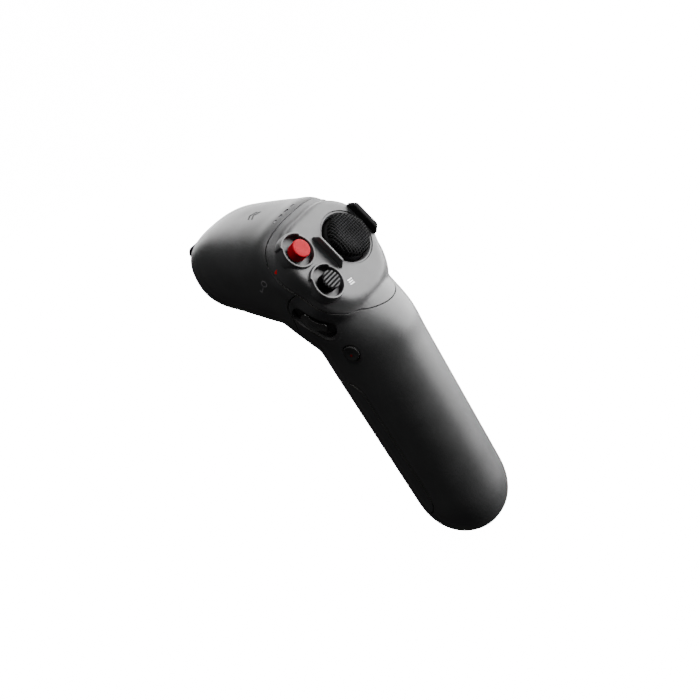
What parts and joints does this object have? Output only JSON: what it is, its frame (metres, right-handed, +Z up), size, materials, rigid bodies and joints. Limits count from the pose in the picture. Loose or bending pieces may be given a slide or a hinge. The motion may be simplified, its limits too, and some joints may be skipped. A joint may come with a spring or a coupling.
{
  "type": "radio transmitter controller",
  "caption": "Pistol-grip motion controller: thumb stick, two face buttons, side dial, side button and trigger in a raked grip with a forward head",
  "frame": {"origin": "on the axis of the grip at the middle of the hand that holds it", "axes": "+X to the user's right, +Y forward the way the head points, +Z up, with the grip raked ten degrees from upright"},
  "size_m": [0.0538, 0.1141, 0.1681],
  "materials": {
    "shell": "fine spark-eroded texture, charcoal",
    "rubber": "matte with a fine diamond grip on the stick",
    "red": "satin red",
    "black": "satin black",
    "steel": "plain",
    "board": "solder mask over glass fibre",
    "chip": "moulded",
    "cell": "shrink-wrapped can",
    "frame": "glass-filled",
    "light": "diffusing",
    "gold": "plated"
  },
  "bodies": {
    "handset": {"head_shell": "shell", "thumb_panel": "shell", "grip_shell": "shell", "grip_front_cover": "shell", "nose_cover": "rubber", "gimbal_housing": "frame", "stick_sensor_x": "chip", "stick_sensor_y": "chip", "lock_switch": "chip", "mode_switch": "chip", "control_board": "board", "dial_switch": "chip", "record_switch": "chip", "power_switch": "chip", "trigger_pin": "steel", "trigger_bracket_left": "frame", "trigger_bracket_right": "frame", "trigger_sensor": "chip", "light_pipe_1": "light", "light_pipe_2": "light", "light_pipe_3": "light", "light_pipe_4": "light", "light_board": "board", "radio_board": "board", "radio_can": "steel", "antenna_left": "gold", "antenna_right": "gold", "buzzer": "black", "vibration_motor": "steel", "battery_cradle": "frame", "battery_cell": "cell", "contact_top": "gold", "contact_bottom": "gold", "main_board": "board", "processor_can": "steel", "motion_sensor": "chip", "cover_screw_1": "steel", "cover_screw_2": "steel", "charge_port": "steel", "charge_board": "board"},
    "gimbal": {"gimbal_ring": "frame"},
    "stick": {"stick_cap": "rubber", "stick_skirt": "black", "stick_shaft": "steel"},
    "lock": {"lock_button": "red"},
    "mode": {"mode_button": "black"},
    "record": {"record_button": "black"},
    "power": {"power_button": "black"},
    "dial": {"dial_knob": "black"},
    "trigger": {"trigger_lever": "black", "trigger_magnet": "steel"},
    "dial_mount": {"dial_carrier": "frame", "dial_pin": "steel"}
  },
  "joints": [
    {"name": "stick_fore_aft", "type": "hinge", "parent": "handset", "child": "gimbal", "pos_m": [0.0088, 0.00983, 0.08163], "axis": [1, 0, 0], "range_deg": [-10, 10], "stiffness_Nm_per_rad": 0.12},
    {"name": "stick_sideways", "type": "hinge", "parent": "gimbal", "child": "stick", "pos_m": [0.0088, 0.00983, 0.08163], "axis": [0, 0.5, 0.866], "range_deg": [-10, 10], "stiffness_Nm_per_rad": 0.12},
    {"name": "lock_press", "type": "slide", "parent": "handset", "child": "lock", "axis": [0, 0.866, -0.5], "range_m": [0, 0.0008], "stiffness_N_per_m": 1500},
    {"name": "mode_press", "type": "slide", "parent": "handset", "child": "mode", "axis": [0, 0.866, -0.5], "range_m": [0, 0.0008], "stiffness_N_per_m": 1500},
    {"name": "record_press", "type": "slide", "parent": "handset", "child": "record", "axis": [0.9588, 0.2796, -0.0493], "range_m": [0, 0.0005], "stiffness_N_per_m": 2000},
    {"name": "power_press", "type": "slide", "parent": "handset", "child": "power", "axis": [-0.9139, 0, -0.406], "range_m": [0, 0.0005], "stiffness_N_per_m": 2000},
    {"name": "dial_press", "type": "slide", "parent": "handset", "child": "dial_mount", "axis": [0.9656, 0.1001, 0.2401], "range_m": [0, 0.0005], "stiffness_N_per_m": 2000},
    {"name": "dial_rock", "type": "hinge", "parent": "dial_mount", "child": "dial", "pos_m": [-0.01813, 0.01157, 0.06361], "axis": [-0.0726, -0.7827, 0.6182], "range_deg": [-12, 12], "stiffness_Nm_per_rad": 0.06},
    {"name": "trigger_pull", "type": "hinge", "parent": "handset", "child": "trigger", "pos_m": [0, 0.0265, 0.061], "axis": [-1, 0, 0], "range_deg": [-6, 18], "stiffness_Nm_per_rad": 0.25}
  ]
}
